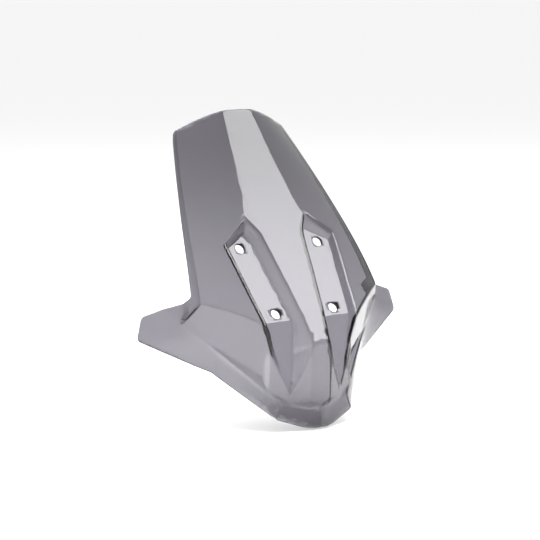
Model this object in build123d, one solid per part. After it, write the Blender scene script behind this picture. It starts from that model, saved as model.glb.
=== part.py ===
from build123d import *
import math
import os

# Motorcycle windshield screen: one thermoformed sheet of tinted acrylic with four mounting holes.
#
# The shape is described in the forming tool's frame: u across the screen, v up its slope and w out
# of it, along the four parallel hole axes. Its origin is the middle of the hole pattern, on the
# front face of the recess floors. The sheet is a forming body minus the same body made one sheet
# thickness smaller, so every wall is one thickness thick. At the end the sheet is tipped back into
# the row frame: X across, -Y forwards, +Z up.

SHEET = 3.0                   # thickness of the acrylic
RAKE = 54.7                   # tilt of the screen's slope above the horizontal, degrees
HOLE_R = 6.0                  # holes for rubber well nuts
UPPER_HOLE = (57.1, 44.3)     # (u, v) of the right upper hole
LOWER_HOLE = (42.1, -44.3)    # (u, v) of the right lower hole

TOP_V = 223.0                 # top edge on the centre line
TOP_CORNER = (76.0, 212.5)    # rounded upper corner of the panel
NOSE_V = -172.0               # lowest point of the nose
PANEL_CORNER = (130.6, -14.6)  # where the panel's side meets the crease to the cheek
WING_ROOT = (141.8, -20.8)    # upper end of the crease between cheek and wing
RIDGE_FOOT = (48.0, -138.0)   # lower end of that crease, at the nose
CREASE_W = -43.0              # height of the crease between cheek and wing
NOSE_FOOT = (0.0, -152.0)     # foot of the keel on the centre line
NOSE_FOOT_W = -38.5
KEEL_HALF = 60.0              # half-width of the keel where it meets the panel

REACH = 900.0                 # size of a half-space block
DEPTH = -200.0                # bottom of the forming body

# Stations up the panel: v, height of the spine, half-width of the central facet.
SPINE = [
    (-200.0, 9.0, 10.8),
    (-92.0, 9.0, 10.8),
    (-50.0, 13.2, 18.0),
    (0.0, 14.0, 23.4),
    (80.0, 14.2, 34.8),
    (120.0, 14.3, 31.0),
    (170.0, 15.6, 26.2),
    (240.0, 19.4, 19.4),
]


def side_u(v):
    """Half-width of the panel, out to its folded side edge."""
    return 129.0 - 0.1487 * v - 3.69e-4 * v * v


def side_w(v):
    """Height of the panel's side edge: level above, falling towards the wings."""
    fall = max(90.0 - max(v, PANEL_CORNER[1]), 0.0) / 100.0
    return -7.5 - 5.2 * fall**3


def crown(s, v):
    """Share of the spine-to-side drop reached at s, 0 at the facet's edge and 1 at the side."""
    linear = 0.2 + 0.3 * min(max((v - 60.0) / 160.0, 0.0), 1.0)
    return linear * s + (1.0 - linear) * s * s


def below(point, slope_u, slope_v, inset):
    """Block under the plane through a point, with these slopes of w, moved inwards by inset."""
    plane = Plane(origin=point, z_dir=(-slope_u, -slope_v, 1.0)).offset(-inset)
    return plane * Box(REACH, REACH, REACH, align=(Align.CENTER, Align.CENTER, Align.MAX))


def both(shape):
    """The shape and its mirror image."""
    return shape + mirror(shape, about=Plane.YZ)


def outline_face(points):
    """Flat face on a symmetric outline, given as its right half from top to bottom."""
    left = [(-u, v) for u, v in reversed(points) if u > 0.0]
    return make_face(Polyline(*points, *left, close=True))


def panel_section(v, spine, facet, inset):
    """Cross-section of the forming body's crowned top, at one station."""
    span = side_u(v) - facet
    drop = spine - side_w(v)
    right = []
    for s in (0.0, 0.25, 0.5, 0.75, 1.0, 1.25):
        slope = drop * (crown(s + 0.05, v) - crown(s - 0.05, v)) / (0.1 * span) if s > 0.0 else 0.0
        right.append((facet + s * span, spine - drop * crown(s, v) - inset * math.hypot(1.0, slope)))
    left = [(-u, w) for u, w in reversed(right)]
    end = right[-1][0]
    with BuildSketch(Plane.XZ.offset(-v)) as section:
        with BuildLine():
            Spline(*left)
            Line(left[-1], right[0])
            Spline(*right)
            Polyline(right[-1], (end, DEPTH), (-end, DEPTH), left[0])
        make_face()
    return section.sketch


def panel(inset):
    """Everything under the crowned panel and its flat central facet."""
    return loft([panel_section(v, spine, facet, inset) for v, spine, facet in SPINE], ruled=True)


def core_prism(inset):
    """Plan of the raised body: panel sides, wing roots and the crease line round to the nose."""
    sides = [(side_u(v), v) for v in (240.0, 190.0, 140.0, 90.0, 40.0)]
    outline = outline_face([(0.0, 240.0), *sides, PANEL_CORNER, WING_ROOT, RIDGE_FOOT, NOSE_FOOT])
    if inset > 0.0:
        outline = offset(outline, amount=-inset, kind=Kind.INTERSECTION)
    return extrude(Pos(0, 0, DEPTH) * outline, amount=60.0 - DEPTH)


def core(inset):
    """The raised body: crowned panel, cheeks, nose sides and the keel that runs down its middle."""
    top = panel(inset) & core_prism(inset)
    keel_front = below((0.0, -92.0, 9.0), 0.0, 0.78, inset)
    cheek = below((130.1, -15.0, -13.8), -1.235, 1.251, inset)
    nose_side = below((48.7, -139.3, -43.7), -0.313, 0.842, inset)
    keel_flank = below((14.0, -92.0, 9.0), -0.6, 0.78, inset)
    body = top & keel_front
    for plane in (cheek, nose_side):
        body = body & plane & mirror(plane, about=Plane.YZ)
    middle = Box(2 * KEEL_HALF, REACH, REACH)
    keel = top & keel_front & keel_flank & mirror(keel_flank, about=Plane.YZ) & middle
    return body + keel


def wall(start, end, steepness, inset):
    """Block under a recess wall that falls from the rim line start-end to the line's left."""
    run = Vector(end[0] - start[0], end[1] - start[1])
    along = run.normalized()
    fall = (end[2] - start[2]) / run.length
    slope_u = fall * along.X + steepness * along.Y
    slope_v = fall * along.Y - steepness * along.X
    return below(start, slope_u, slope_v, inset)


def recess(inset):
    """Right-hand recess: a flat floor for the holes that runs out down the nose as a valley."""
    tool = Pos(60, -20, 0) * Box(120, 260, 120)
    for plane in (
        wall((12.0, -92.0, 9.0), (36.5, 80.0, 14.2), -2.0, inset),
        wall((36.0, -130.0, -36.0), (12.0, -92.0, 9.0), -1.2, inset),
        wall((46.0, 78.0, 9.0), (82.0, 51.5, 5.0), -5.0, inset),
        wall((82.0, 51.5, 5.0), (67.5, -64.0, 3.5), -5.0, inset),
        wall((67.5, -64.0, 3.5), (44.0, -129.0, -36.0), -5.0, inset),
    ):
        tool = tool - plane
    floor = below((0.0, 0.0, 0.0), 0.0, 0.0, inset)
    valley = below((0.0, -55.5, 0.0), 0.0, 0.478, inset)
    return tool - (floor & valley)


def skirt_section(t, width, drop, inset):
    """Section across the wing or brim, t along the crease from the wing root."""
    root = Vector(*WING_ROOT)
    along = (Vector(*RIDGE_FOOT) - root).normalized()
    outward = Vector(-along.Y, along.X)
    origin = root + along * t
    sink = inset * math.hypot(1.0, drop / width)
    flat = inset * math.hypot(1.0, 0.15)
    plane = Plane(origin=(origin.X, origin.Y, CREASE_W), x_dir=outward, z_dir=along)
    points = [
        (-34.0, 3.0 - flat),
        (-20.0, 3.0 - flat),
        (0.0, -sink),
        (1.4 * width, -1.4 * drop - sink),
        (1.4 * width, DEPTH),
        (-34.0, DEPTH),
    ]
    return plane * make_face(Polyline(*points, close=True))


def skirt(inset):
    """Right-hand wing and brim: a ruled sheet below the crease, ending in the blunt nose."""
    stations = [(-60.0, 49.9, 24.0), (68.0, 12.8, 24.0), (155.0, 12.8, 10.3), (235.0, 12.8, 9.0)]
    side = loft([skirt_section(*station, inset) for station in stations], ruled=True)
    nose = below((*NOSE_FOOT, NOSE_FOOT_W), -0.264, 0.528, inset)
    right = Pos(REACH / 2, 0, 0) * Box(REACH, REACH, REACH)
    return side & nose & right


def body(inset):
    """The whole forming body, with both recesses, wings and brims."""
    return core(inset) - both(recess(inset)) + both(skirt(inset))


def outline():
    """Plan of the trimmed edge, with its rounded corners."""
    with BuildSketch() as sketch:
        with BuildLine() as line:
            ThreePointArc((0.0, TOP_V), (0.55 * TOP_CORNER[0], TOP_V - 3.0), TOP_CORNER)
            Polyline(TOP_CORNER, (82.2, 209.0), (106.6, 120.0), (130.6, 0.5))
            Polyline((130.6, 0.5), (166.0, -3.0), (182.0, -5.0), (191.0, -27.0))
            Polyline((191.0, -27.0), (110.0, -80.5), (56.5, -151.0), (0.0, NOSE_V - 2.0))
            mirror(line.line, about=Plane.YZ)
        make_face()
        corners = [p for p in sketch.vertices() if abs(p.X) > 180.0 or p.Y < -140.0]
        fillet(corners, 6.0)
    return sketch.sketch


def lip_cutter():
    """What lies behind the folded side lips, which get deeper towards the wings."""
    profile = Plane.YZ * make_face(
        Polyline((0.5, -24.5), (100.0, -13.2), (240.0, -11.4), (240.0, DEPTH), (0.5, DEPTH), close=True)
    )
    return extrude(profile, amount=REACH / 2, both=True)


def hole(u, v):
    """Drill along w through the floor of a recess."""
    return Pos(u, v, 0) * Cylinder(HOLE_R, 60.0)


def screen():
    """The formed, trimmed and drilled sheet."""
    sheet = body(0.0) - body(SHEET)
    sheet = sheet & extrude(Pos(0, 0, DEPTH) * outline(), amount=60.0 - DEPTH)
    sheet = sheet - lip_cutter()
    for u, v in (UPPER_HOLE, LOWER_HOLE):
        sheet = sheet - both(hole(u, v))
    return Rot(X=RAKE) * sheet


os.makedirs("parts", exist_ok=True)
part = screen()
part.label = "screen_panel"
export_step(part, "parts/screen_panel.step")
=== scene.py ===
"""Smoked acrylic motorcycle windscreen: the finished sheet, its material, a studio and a camera."""

import math

import bmesh
import bpy
import numpy as np
from mathutils import Matrix, Vector
from mathutils.geometry import delaunay_2d_cdt


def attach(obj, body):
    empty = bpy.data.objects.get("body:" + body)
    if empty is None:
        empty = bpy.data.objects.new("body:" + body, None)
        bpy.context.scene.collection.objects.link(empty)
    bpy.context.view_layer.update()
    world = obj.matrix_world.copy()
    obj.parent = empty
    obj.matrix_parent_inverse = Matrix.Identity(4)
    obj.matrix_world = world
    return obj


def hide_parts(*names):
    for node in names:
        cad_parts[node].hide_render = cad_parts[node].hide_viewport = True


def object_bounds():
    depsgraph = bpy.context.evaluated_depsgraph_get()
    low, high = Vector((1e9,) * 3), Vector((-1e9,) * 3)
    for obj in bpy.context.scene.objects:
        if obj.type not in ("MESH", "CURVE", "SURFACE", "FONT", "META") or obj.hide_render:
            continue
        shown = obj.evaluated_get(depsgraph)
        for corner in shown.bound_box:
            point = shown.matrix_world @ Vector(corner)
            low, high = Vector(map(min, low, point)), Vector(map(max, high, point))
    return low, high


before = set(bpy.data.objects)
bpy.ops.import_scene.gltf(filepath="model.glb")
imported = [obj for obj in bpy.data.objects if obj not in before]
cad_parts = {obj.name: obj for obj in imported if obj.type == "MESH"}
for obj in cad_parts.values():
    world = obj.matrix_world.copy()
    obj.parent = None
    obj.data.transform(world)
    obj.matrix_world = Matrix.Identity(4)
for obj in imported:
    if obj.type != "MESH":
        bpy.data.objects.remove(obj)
cad_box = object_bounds()

# ---------------------------------------------------------------------------------------------
# Driving dimensions, in millimetres, in the frame of the forming mould: u across the screen, v up
# its slope, w out of it along the hole axes. a is |u|, because the sheet is symmetric.
# ---------------------------------------------------------------------------------------------
MM = 0.001
RAKE = math.radians(54.7)       # the slope's tilt above the horizontal
SHEET = 3.0                     # thickness of the acrylic
HOLE_R = 6.0
EDGE = 0.9                      # how far the polished edge bulges past the flat of the sheet
HOLE_EDGE = 0.35                # the same, in the drilled holes
EDGE_ROWS = 6
TOP_V = 223.0
PANEL_CORNER = np.array([130.6, -14.6])
WING_ROOT = np.array([141.8, -20.8])
RIDGE_FOOT = np.array([48.0, -138.0])
NOSE_FOOT_V = -152.0
CREASE_W = -43.0                # height of the crease between cheek and wing
CREASE_RUN = 68.0               # how far along that crease the wing turns into the brim
BRIM_WIDTH = 12.8               # width of the brim, from the crease to the edge
WING_DROP = 24.0                # how far the wing falls over its width
INNER_SLOPE = 0.15              # slope of the wing on the crease's inner side
INNER_REACH = 20.0              # how far that slope goes on
NOSE_FOOT_W = -38.5             # height of the nose's foot line, on the centre line
LIP = 12.8                      # depth of the folded side lip beside the wing
LIP_SLOPE = 9.0                 # how steeply the lip falls away
LIP_TAPER = 1.35                # how fast the lip gets shallower, upwards
LIP_TOP_V = 210.0               # where the lip runs out
KEEL_TOP_V = -92.0              # where the facet ends and the front of the keel starts
KEEL_TOP_W = 9.0
KEEL_SLOPE = 0.78               # slope of the keel's front, down to the nose
KEEL_HALF = 60.0                # half-width of the keel where it meets the panel
KEEL_END_SLOPE = 3.0
ROUNDING = 1.6                  # half-width of a formed crease's rounding
HOLES = [(57.1, 44.3), (42.1, -44.3)]


def ramp(x):
    return np.maximum(x, 0.0)


# ------------------------------- the sheet's surfaces -----------------------------------------

def facet_half(v):
    """Half-width of the flat facet down the middle."""
    return np.interp(v, [-92.0, 80.0, 221.0], [10.8, 34.8, 21.4])


def spine(v):
    """Height of that facet."""
    return np.interp(v, [-92.0, -50.0, 0.0, 120.0, 170.0, 220.0], [9.0, 13.2, 14.0, 14.3, 15.6, 18.2])


def side_u(v):
    """Half-width of the panel, out to its folded edge."""
    return 129.0 - 0.1487 * v - 3.69e-4 * v**2


def side_w(v):
    """Height of the panel's folded edge."""
    fall = ramp(90.0 - np.maximum(v, -14.0)) / 100.0
    return -7.5 - 5.2 * fall**3 - 0.9 * ramp(v - 130.0) / 80.0


def panel(a, v):
    """The crowned panel and its facet."""
    half = facet_half(v)
    s = np.minimum(ramp(a - half) / (side_u(v) - half), 1.25)
    linear = np.interp(v, [60.0, 220.0], [0.2, 0.62])
    return spine(v) - (spine(v) - side_w(v)) * (linear * s + (1.0 - linear) * s**2)


def lip_wall(a, v):
    """The folded side lip."""
    return side_w(v) - LIP_SLOPE * (a - side_u(v))


def along(a, v, start, end):
    """Distance along the line start-end, and distance out to its left."""
    d = (end - start) / np.hypot(*(end - start))
    return (a - start[0]) * d[0] + (v - start[1]) * d[1], (v - start[1]) * d[0] - (a - start[0]) * d[1]


def hook_wall(a, v):
    """Wall that drops from the panel's corner to the wing's root."""
    run, out = along(a, v, PANEL_CORNER, WING_ROOT)
    return -13.6 - 2.07 * run - 4.0 * out


def keel_front(a, v):
    """Front of the keel, which falls from the end of the facet to the nose."""
    return KEEL_TOP_W + KEEL_SLOPE * (v - KEEL_TOP_V)


def cheek(a, v):
    """Plane between the recess, the panel's corner and the wing's root."""
    return -13.8 - 1.235 * (a - 130.1) + 1.251 * (v + 15.0)


def nose_side(a, v):
    """Plane beside the valley, above the brim."""
    return -43.7 - 0.313 * (a - 48.7) + 0.842 * (v + 139.3)


def keel_flank(a, v):
    """Side of the keel, which ends on a steep step at the keel's half-width."""
    return keel_front(a, v) - 0.6 * (a - 14.0) - KEEL_END_SLOPE * ramp(a - KEEL_HALF)


def wing(a, v):
    """Wing and brim: ruled from the crease down to the lower edge."""
    run, out = along(a, v, WING_ROOT, RIDGE_FOOT)
    width = BRIM_WIDTH + 0.29 * ramp(CREASE_RUN - run)
    drop = WING_DROP - 0.157 * ramp(run - CREASE_RUN)
    slope = drop / width
    inner = np.minimum(slope, INNER_SLOPE)
    return CREASE_W - np.where(out > 0, slope, inner) * np.maximum(out, -INNER_REACH)


def brim(a, v):
    """The blunt nose, below its foot line."""
    out = nose_out(a, v)
    return NOSE_FOOT_W - 0.11 * a - np.where(out > 0, 0.55, 0.3) * np.maximum(out, -10.0)


# The recess's outer lines, clockwise as seen from in front, on the right-hand side, each with the
# slope of its wall. A shallow bevel runs along their inner side.
RECESS = [
    (np.array([46.0, 78.0]), np.array([82.0, 51.5]), 1.6),
    (np.array([82.0, 51.5]), np.array([67.5, -64.0]), 5.0),
    (np.array([67.5, -64.0]), np.array([44.0, -129.0]), 5.0),
]
BEVEL, BEVEL_SLOPE = 4.5, 0.25
VALLEY_TOP_V = -55.5            # where the floor starts to fall away
VALLEY_END_V = -131.0
CREASE_STEP = 3.0               # how steeply the body ends beyond the crease to the wings


def body(a, v):
    """The raised body before its recesses: panel, cheeks, nose sides and keel."""
    walled = np.minimum(panel(a, v), np.maximum(lip_wall(a, v), hook_wall(a, v)))
    top = np.minimum.reduce([walled, cheek(a, v), keel_front(a, v), nose_side(a, v)])
    return np.maximum(top, np.minimum.reduce([walled, keel_front(a, v), keel_flank(a, v)]))


def recess_inner(a, v):
    """Depth of the inner wall below the body."""
    rim = np.interp(v, [-130.0, -112.0, -92.0, 55.0, 80.0], [36.0, 22.0, 12.0, 31.3, 46.0])
    return np.interp(v, [-110.0, -60.0], [1.2, 2.0]) * (a - rim) * 0.98


def recess_end(a, v):
    """Depth of the wall that closes the valley's lower end."""
    return 2.0 * (v - VALLEY_END_V)


def recess_floor(a, v):
    """Flat floor for the holes, which runs out down the nose as a valley."""
    return np.minimum(0.0, 0.478 * (v - VALLEY_TOP_V))


def side_out(a, v):
    """Distance beyond the crease between the body and the wing."""
    return along(a, v, WING_ROOT, RIDGE_FOOT)[1]


def nose_out(a, v):
    """Distance beyond the foot of the nose."""
    return 0.28 * a - 0.96 * (v - NOSE_FOOT_V)


def gradient(surface, a, v):
    step = 0.25
    du = (surface(a + step, v) - surface(a - step, v)) / (2.0 * step)
    dv = (surface(a, v + step) - surface(a, v - step)) / (2.0 * step)
    return du, dv


def lowered(surface, a, v, depth):
    """The surface moved back along its normal by depth."""
    if depth == 0.0:
        return surface(a, v)
    return surface(a, v) - depth * np.hypot(1.0, np.hypot(*gradient(surface, a, v)))


def sharp(u, v, depth):
    """Height of the sheet's face with sharp creases, depth mm behind its front."""
    a = np.abs(u)
    here = body(a, v)
    body_slope = gradient(body, a, v) if depth else (0.0, 0.0)

    def low(surface):
        return lowered(surface, a, v, depth)

    def below_body(drop):
        """The body's face less a drop, moved back by depth."""
        if depth == 0.0:
            return here - drop(a, v)
        slope = [b - d for b, d in zip(body_slope, gradient(drop, a, v))]
        return here - drop(a, v) - depth * np.hypot(1.0, np.hypot(*slope))

    walled = np.minimum(low(panel), np.maximum(low(lip_wall), low(hook_wall)))
    top = np.minimum.reduce([walled, low(cheek), low(keel_front), low(nose_side)])
    top = np.maximum(top, np.minimum.reduce([walled, low(keel_front), low(keel_flank)]))
    walls = [low(recess_floor), below_body(recess_inner), below_body(recess_end)]
    for p, q, steep in RECESS:
        bevel = below_body(lambda x, y: -BEVEL_SLOPE * along(x, y, p, q)[1])
        wall = below_body(lambda x, y: BEVEL_SLOPE * BEVEL - steep * (along(x, y, p, q)[1] + BEVEL))
        walls.append(np.minimum(bevel, wall))
    top = np.minimum(top, np.maximum.reduce(walls))
    top = np.minimum(top, below_body(lambda x, y: CREASE_STEP * side_out(x, y)))
    top = np.minimum(top, below_body(lambda x, y: CREASE_STEP * nose_out(x, y)))
    skirt = np.where(nose_out(a, v) > side_out(a, v), low(brim), low(wing))
    return np.maximum(top, skirt)


def height(u, v, depth=0.0, rounding=ROUNDING):
    """Height of the face, averaged over a small disc, which rounds its creases."""
    total = sharp(u, v, depth)
    samples = 1
    for ring, count in ((0.5, 6), (1.0, 12)):
        for k in range(count):
            angle = (k + ring) * 2.0 * math.pi / count
            aside, up = ring * rounding * math.cos(angle), ring * rounding * math.sin(angle)
            total = total + sharp(u + aside, v + up, depth)
            samples += 1
    return total / samples


# ------------------------------- the trimmed edge ----------------------------------------------

def rounded(points, spacing=1.5):
    """Samples along a chain of (u, v, corner radius), with each corner turned into an arc."""
    chain = [np.array(points[0][:2])]
    for before, corner, after in zip(points, points[1:], points[2:]):
        c, radius = np.array(corner[:2]), corner[2]
        back = np.array(before[:2]) - c
        on = np.array(after[:2]) - c
        back, on = back / np.hypot(*back), on / np.hypot(*on)
        half = math.acos(np.clip(back @ on, -1.0, 1.0)) / 2.0
        reach = radius / math.tan(half)
        centre = c + (back + on) / np.hypot(*(back + on)) * radius / math.sin(half)
        p, q = c + back * reach - centre, c + on * reach - centre
        turn = math.atan2(p[0] * q[1] - p[1] * q[0], p @ q)
        count = max(2, round(abs(turn) / 0.12))
        for k in range(count + 1):
            angle = turn * k / count
            spin = np.array([[math.cos(angle), -math.sin(angle)], [math.sin(angle), math.cos(angle)]])
            chain.append(centre + spin @ p)
    chain.append(np.array(points[-1][:2]))
    out = [chain[0]]
    for p, q in zip(chain, chain[1:]):
        count = max(1, round(np.hypot(*(q - p)) / spacing))
        out += [p + (q - p) * k / count for k in range(1, count + 1)]
    return out


def edge_chain():
    """The sheet's edge on the right-hand side, from the top of the centre line to the nose's tip."""
    top = [np.array([u, TOP_V - 0.00175 * u**2]) for u in np.linspace(0.0, 72.0, 50)]
    corner = rounded([(*top[-1], 0.0), (80.5, 212.2, 5.5), (lip_edge(200.0), 200.0, 0.0)])
    side = [np.array([lip_edge(v), v]) for v in np.linspace(200.0, 1.5, 134)]
    low = rounded(
        [
            (lip_edge(1.5), 1.5, 0.0),
            (lip_edge(0.0) + 0.3, -0.3, 1.0),
            (166.0, -3.4, 60.0),
            (183.0, -4.8, 5.0),
            (190.6, -27.0, 5.0),
            (109.6, -80.4, 14.0),
            (53.5, -154.0, 9.0),
            (0.0, -178.0, 59.0),
            (-53.5, -154.0, 0.0),
        ]
    )
    low = [p for p in low if p[0] > 0.4]
    tip = np.array([0.0, low[-1][1] + (low[-1][1] - low[-2][1]) * 0.3])
    return top + corner[1:] + side[1:] + low[1:] + [tip]


def lip_edge(v):
    """Where the folded side lip ends."""
    return side_u(v) + LIP * (1.0 - v / LIP_TOP_V) ** LIP_TAPER / LIP_SLOPE


def circle(centre, radius, count=56):
    turns = [2.0 * math.pi * k / count for k in range(count)]
    return [np.array([centre[0] + radius * math.cos(t), centre[1] + radius * math.sin(t)]) for t in turns]


# ------------------------------- meshing --------------------------------------------------------

def crossings(points, loop):
    """Whether each point lies inside the closed loop."""
    inside = np.zeros(len(points), bool)
    for p, q in zip(loop, np.roll(loop, -1, axis=0)):
        spans = (p[1] > points[:, 1]) != (q[1] > points[:, 1])
        rise = q[1] - p[1] if q[1] != p[1] else 1.0
        inside ^= spans & (points[:, 0] < p[0] + (q[0] - p[0]) * (points[:, 1] - p[1]) / rise)
    return inside


def gap(points, chain, closed):
    """Distance from each point to the chain."""
    best = np.full(len(points), 1e9)
    ends = np.roll(chain, -1, axis=0) if closed else chain[1:]
    for p, q in zip(chain, ends):
        d = q - p
        t = np.clip((points - p) @ d / (d @ d), 0.0, 1.0)
        best = np.minimum(best, np.hypot(*(points - p - t[:, None] * d).T))
    return best


def sample_points(face, loop, coarsest=6.0, finest=0.75, tolerance=0.045):
    """Grid points over the right half, closer together where the face bends."""
    size = coarsest
    us, vs = np.meshgrid(np.arange(0.0, 198.0, size), np.arange(-186.0, 234.0, size))
    cells = np.stack([us.ravel(), vs.ravel()], -1)
    found = []
    while len(cells):
        corners = [cells + np.array(c) * size for c in ((0, 0), (1, 0), (0, 1), (1, 1))]
        middle = cells + 0.5 * size
        near = np.logical_or.reduce([crossings(p, loop) for p in (*corners, middle)])
        cells, corners, middle = cells[near], [c[near] for c in corners], middle[near]
        heights = [face(c[:, 0], c[:, 1]) for c in corners]
        bend = np.abs(face(middle[:, 0], middle[:, 1]) - sum(heights) / 4.0)
        split = (bend > tolerance) & (size > finest)
        found += [c[~split] for c in corners]
        parts = [cells[split] + np.array(c) * size * 0.5 for c in ((0, 0), (1, 0), (0, 1), (1, 1))]
        cells = np.concatenate(parts)
        size *= 0.5
    return np.unique(np.round(np.concatenate(found), 4), axis=0)


def face_mesh(face, chain, rings, margin=0.45):
    """Triangulated right half of one face: vertices (u, v, w) and triangles."""
    loop = np.array(chain)
    points = sample_points(face, loop)
    keep = crossings(points, loop) & (gap(points, loop, False) > margin)
    below_top = points[:, 1] < loop[0, 1] - margin
    above_tip = points[:, 1] > loop[-1, 1] + margin
    keep |= (points[:, 0] == 0.0) & below_top & above_tip
    for ring in rings:
        keep &= ~crossings(points, np.array(ring)) & (gap(points, np.array(ring), True) > 0.4)
    points = points[keep]
    fixed = list(chain)
    edges = [(k, (k + 1) % len(chain)) for k in range(len(chain))]
    for ring in rings:
        first = len(fixed)
        fixed += list(ring)
        edges += [(first + k, first + (k + 1) % len(ring)) for k in range(len(ring))]
    every = [Vector(p) for p in fixed] + [Vector(p) for p in points]
    verts, _, triangles, *_ = delaunay_2d_cdt(every, edges, [], 1, 1e-5)
    uv = np.array([tuple(p) for p in verts])
    triangles = np.array([t for t in triangles if len(t) == 3])
    middles = uv[triangles].mean(axis=1)
    good = np.ones(len(middles), bool)
    for ring in rings:
        good &= ~crossings(middles, np.array(ring))
    return np.column_stack([uv, face(uv[:, 0], uv[:, 1])]), triangles[good]


def front(u, v):
    return height(u, v)


def back(u, v):
    return height(u, v, SHEET)


def normals(face, points):
    """Unit normals of a face at (u, v) points."""
    step = 0.3
    u, v = points[:, 0], points[:, 1]
    du = (face(u + step, v) - face(u - step, v)) / (2.0 * step)
    dv = (face(u, v + step) - face(u, v - step)) / (2.0 * step)
    out = np.column_stack([-du, -dv, np.ones(len(u))])
    return out / np.linalg.norm(out, axis=1)[:, None]


def behind(chain):
    """The edge on the back face, straight behind the edge on the front face."""
    points = np.array(chain)
    n = normals(front, points)
    moved = points - SHEET * n[:, :2]
    moved[np.abs(points[:, 0]) < 1e-6, 0] = 0.0
    return [p for p in moved]


def edge_band(front_chain, back_chain, closed, bulge):
    """Rounded edge between the two faces: vertices and quads."""
    f, b = np.array(front_chain), np.array(back_chain)
    f3 = np.column_stack([f, front(f[:, 0], f[:, 1])])
    b3 = np.column_stack([b, back(b[:, 0], b[:, 1])])
    after = np.roll(f3, -1, axis=0)
    before = np.roll(f3, 1, axis=0)
    if not closed:
        after[-1] = f3[-1] + [-1.0, 0.0, 0.0]
        before[0] = f3[0] - [1.0, 0.0, 0.0]
    out = np.cross(f3 - b3, after - before)
    out /= np.linalg.norm(out, axis=1)[:, None]
    rows = []
    for k in range(EDGE_ROWS + 1):
        angle = math.pi * k / EDGE_ROWS
        rows.append((f3 + b3) / 2 + (f3 - b3) / 2 * math.cos(angle) + out * bulge * math.sin(angle))
    count = len(f)
    spans = count if closed else count - 1
    quads = []
    for r in range(EDGE_ROWS):
        for k in range(spans):
            n = (k + 1) % count
            quads.append((r * count + k, r * count + n, (r + 1) * count + n, (r + 1) * count + k))
    return np.concatenate(rows), quads


def to_row(points):
    """Forming frame in millimetres to the row frame in metres."""
    turn = Matrix.Rotation(RAKE, 3, "X")
    return points @ np.array(turn).T * MM


def screen_mesh():
    """The whole sheet, in the row frame: both faces, the edge and the holes, on both sides."""
    chain = edge_chain()
    rings = [circle(centre, HOLE_R + HOLE_EDGE) for centre in HOLES]
    back_chain = behind(chain)
    pieces = [face_mesh(front, chain, rings)]
    points, triangles = face_mesh(back, back_chain, rings)
    pieces.append((points, triangles[:, ::-1]))
    pieces.append(edge_band(chain, back_chain, False, EDGE))
    pieces += [edge_band(ring, ring, True, HOLE_EDGE) for ring in rings]
    verts, faces = [], []
    for points, polygons in pieces:
        for side in (1.0, -1.0):
            first = sum(len(p) for p in verts)
            verts.append(to_row(points * np.array([side, 1.0, 1.0])))
            for polygon in polygons:
                corners = [first + int(i) for i in polygon]
                faces.append(corners if side > 0 else corners[::-1])
    return np.concatenate(verts), faces


def make_screen():
    """The sheet as one smooth, closed mesh object."""
    verts, faces = screen_mesh()
    mesh = bpy.data.meshes.new("smoked_screen")
    mesh.from_pydata(verts.tolist(), [], faces)
    bm = bmesh.new()
    bm.from_mesh(mesh)
    bmesh.ops.remove_doubles(bm, verts=bm.verts, dist=2e-5)
    bmesh.ops.recalc_face_normals(bm, faces=bm.faces)
    bm.to_mesh(mesh)
    bm.free()
    mesh.shade_smooth()
    screen = bpy.data.objects.new("smoked_screen", mesh)
    bpy.context.scene.collection.objects.link(screen)
    return screen


# ------------------------------- material -------------------------------------------------------

def smoked_acrylic():
    """Clear polished acrylic, dyed smoke grey all through, with faint forming waves and wipe marks."""
    mat = bpy.data.materials.new("smoked_acrylic")
    mat.use_nodes = True
    nodes, links = mat.node_tree.nodes, mat.node_tree.links
    shader = nodes["Principled BSDF"]
    shader.inputs["Base Color"].default_value = (1.0, 1.0, 1.0, 1.0)
    shader.inputs["Transmission Weight"].default_value = 1.0
    shader.inputs["IOR"].default_value = 1.49
    absorb = nodes.new("ShaderNodeVolumeAbsorption")
    absorb.inputs["Color"].default_value = (0.365, 0.350, 0.395, 1.0)
    absorb.inputs["Density"].default_value = 900.0
    links.new(absorb.outputs["Volume"], nodes["Material Output"].inputs["Volume"])
    place = nodes.new("ShaderNodeTexCoord")
    wipe = nodes.new("ShaderNodeTexNoise")
    wipe.inputs["Scale"].default_value = 16.0
    wipe.inputs["Detail"].default_value = 4.0
    links.new(place.outputs["Object"], wipe.inputs["Vector"])
    gloss = nodes.new("ShaderNodeMapRange")
    gloss.inputs["From Min"].default_value = 0.35
    gloss.inputs["From Max"].default_value = 0.75
    gloss.inputs["To Min"].default_value = 0.012
    gloss.inputs["To Max"].default_value = 0.035
    links.new(wipe.outputs["Fac"], gloss.inputs["Value"])
    links.new(gloss.outputs["Result"], shader.inputs["Roughness"])
    waves = nodes.new("ShaderNodeTexNoise")
    waves.inputs["Scale"].default_value = 30.0
    waves.inputs["Detail"].default_value = 1.0
    links.new(place.outputs["Object"], waves.inputs["Vector"])
    bump = nodes.new("ShaderNodeBump")
    bump.inputs["Strength"].default_value = 0.06
    bump.inputs["Distance"].default_value = 0.0006
    links.new(waves.outputs["Fac"], bump.inputs["Height"])
    links.new(bump.outputs["Normal"], shader.inputs["Normal"])
    return mat


# ------------------------------- studio ---------------------------------------------------------

COVE = 1.06                     # brightness of the white cove
ROOM = 0.45                     # brightness of the room on the camera's side
FLOOR_SIZE = 400.0              # metres

# The camera stands in front and to the left, a little above the middle of the screen.
VIEW_AZIMUTH = -36.0
VIEW_ELEVATION = 8.3327
VIEW_DISTANCE = 2.435
VIEW_TARGET = Vector((0.0, 0.0440, 0.0038))
LENS = 135.28


def direction(azimuth, elevation):
    """Unit vector from the object towards that azimuth (0 in front, positive to the right)."""
    az, el = math.radians(azimuth), math.radians(elevation)
    return Vector((math.sin(az) * math.cos(el), -math.cos(az) * math.cos(el), math.sin(el)))


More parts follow.
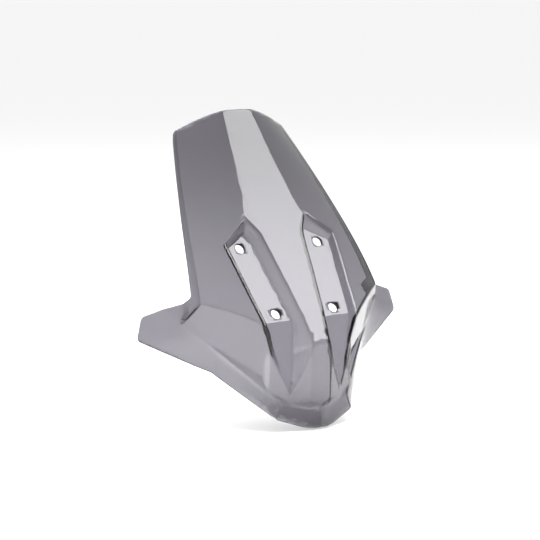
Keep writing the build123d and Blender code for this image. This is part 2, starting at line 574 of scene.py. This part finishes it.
def make_floor():
    """White paper floor, level with the foot of the nose and out to the horizon."""
    foot = (0.0, 0.0, cad_box[0][2])
    bpy.ops.mesh.primitive_grid_add(
        x_subdivisions=8, y_subdivisions=8, size=FLOOR_SIZE, location=foot
    )
    floor = bpy.context.object
    floor.name = "studio_floor"
    mat = bpy.data.materials.new("studio_paper")
    mat.use_nodes = True
    shader = mat.node_tree.nodes["Principled BSDF"]
    shader.inputs["Base Color"].default_value = (0.96, 0.96, 0.96, 1.0)
    shader.inputs["Roughness"].default_value = 0.9
    shader.inputs["Specular IOR Level"].default_value = 0.1
    floor.data.materials.append(mat)
    return floor


def make_world():
    """A white cove behind and above, and a dimmer room on the camera's side."""
    world = bpy.data.worlds.new("studio_white")
    world.use_nodes = True
    nodes, links = world.node_tree.nodes, world.node_tree.links
    place = nodes.new("ShaderNodeTexCoord")
    split = nodes.new("ShaderNodeSeparateXYZ")
    links.new(place.outputs["Generated"], split.inputs["Vector"])
    front_side = nodes.new("ShaderNodeMapRange")
    front_side.interpolation_type = "SMOOTHSTEP"
    front_side.inputs["From Min"].default_value = -0.95
    front_side.inputs["From Max"].default_value = -0.15
    front_side.inputs["To Min"].default_value = ROOM
    front_side.inputs["To Max"].default_value = COVE
    links.new(split.outputs["Y"], front_side.inputs["Value"])
    sky = nodes["Background"]
    sky.inputs["Color"].default_value = (1.0, 1.0, 1.0, 1.0)
    links.new(front_side.outputs["Result"], sky.inputs["Strength"])
    bpy.context.scene.world = world


def softbox(name, azimuth, elevation, distance, width, tall, power, lights_floor=False):
    """Rectangular lamp aimed at the screen. It shows in reflections, and can light the floor too."""
    data = bpy.data.lights.new(name, "AREA")
    data.shape = "RECTANGLE"
    data.size = width
    data.size_y = tall
    data.energy = power
    lamp = bpy.data.objects.new(name, data)
    aim = direction(azimuth, elevation)
    lamp.location = aim * distance
    lamp.rotation_euler = aim.to_track_quat("Z", "Y").to_euler()
    lamp.visible_diffuse = lights_floor
    bpy.context.scene.collection.objects.link(lamp)
    return lamp


def make_camera():
    """Long lens at the chosen viewpoint."""
    data = bpy.data.cameras.new("view")
    data.lens = LENS
    data.sensor_width = 36.0
    camera = bpy.data.objects.new("view", data)
    back_to_camera = direction(VIEW_AZIMUTH, VIEW_ELEVATION)
    camera.location = VIEW_TARGET + back_to_camera * VIEW_DISTANCE
    camera.rotation_euler = back_to_camera.to_track_quat("Z", "Y").to_euler()
    bpy.context.scene.collection.objects.link(camera)
    bpy.context.scene.camera = camera


# --- MAIN
make_camera()
make_world()
make_floor()
softbox("softbox_key", 55.3, 45.0, 2.2, 0.9, 0.9, 19.0)
softbox("softbox_back", 150.0, 65.0, 2.2, 1.6, 1.6, 45.0, lights_floor=True)
overhead = softbox("softbox_overhead", 10.0, 80.0, 2.0, 1.2, 1.2, 30.0, lights_floor=True)
overhead.visible_glossy = False
overhead.visible_transmission = False
bpy.context.scene.view_settings.view_transform = "Standard"

screen = make_screen()
screen.data.materials.append(smoked_acrylic())
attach(screen, "root")
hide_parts("screen_panel")
